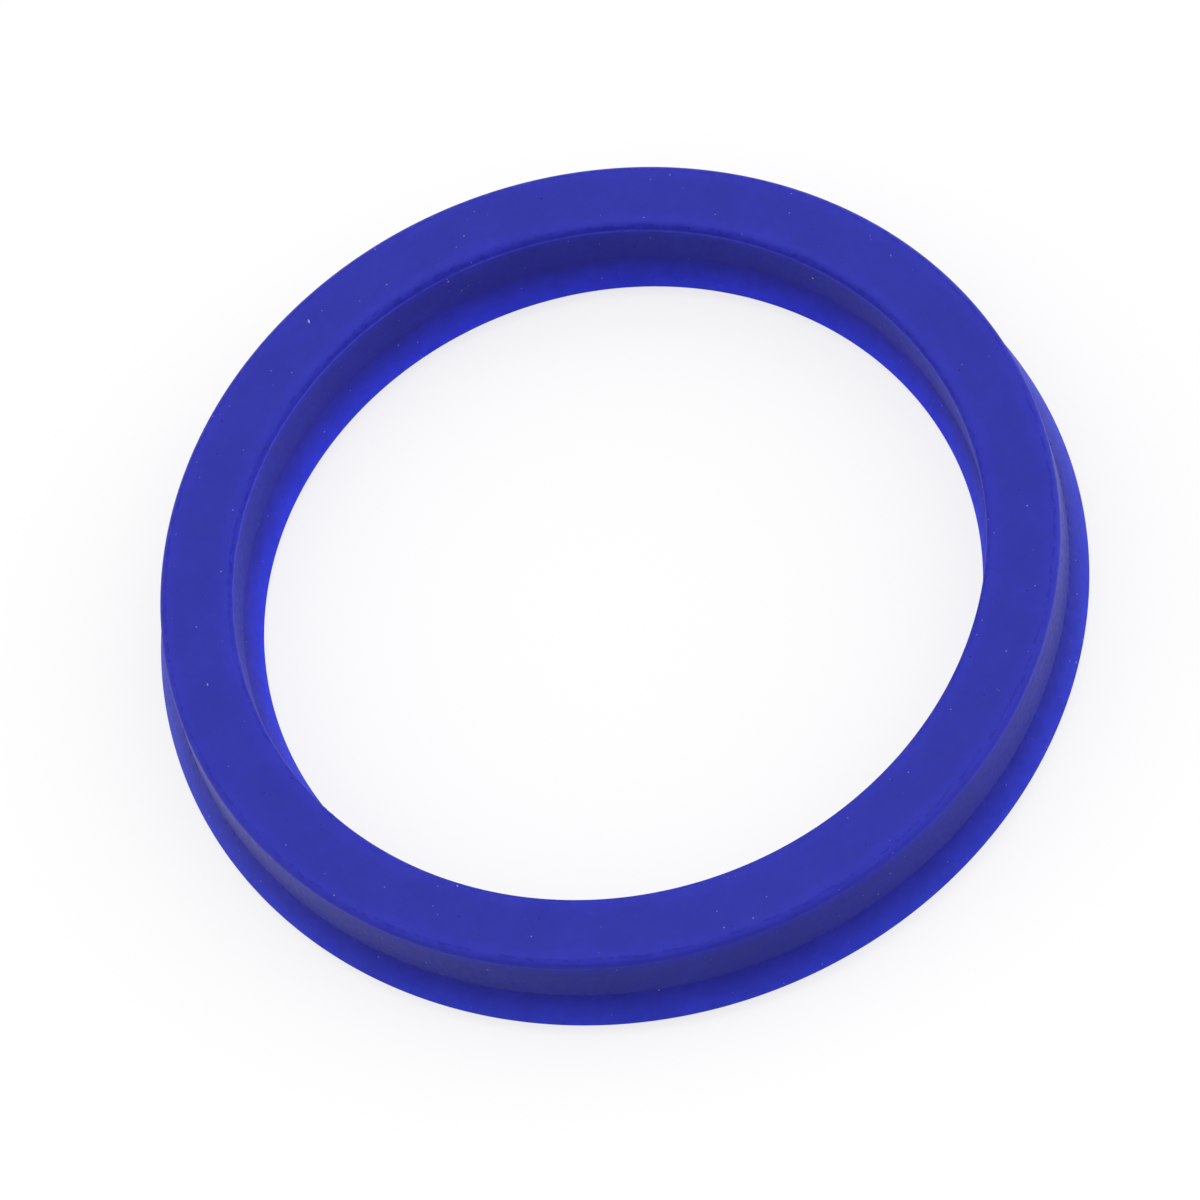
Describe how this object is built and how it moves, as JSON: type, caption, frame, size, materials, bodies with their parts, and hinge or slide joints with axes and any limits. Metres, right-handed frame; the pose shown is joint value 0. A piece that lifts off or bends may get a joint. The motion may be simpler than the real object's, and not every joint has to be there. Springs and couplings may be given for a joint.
{
  "type": "u cup seal",
  "caption": "Ring seal of U section for a hydraulic shaft: solid flat heel and two flared sealing lips parted by a groove, lying lips down.",
  "frame": {"origin": "centre of the ring in the plane of the lips' tips, on which it lies", "axes": "+Z along the ring's axis, from the lips to the heel face; X and Y are any two diameters"},
  "size_m": [0.0498, 0.0498, 0.006],
  "materials": {
    "polyurethane": "smooth satin, moulded, slightly translucent at the lips"
  },
  "bodies": {
    "root": {"u_cup_seal": "polyurethane"}
  },
  "joints": []
}
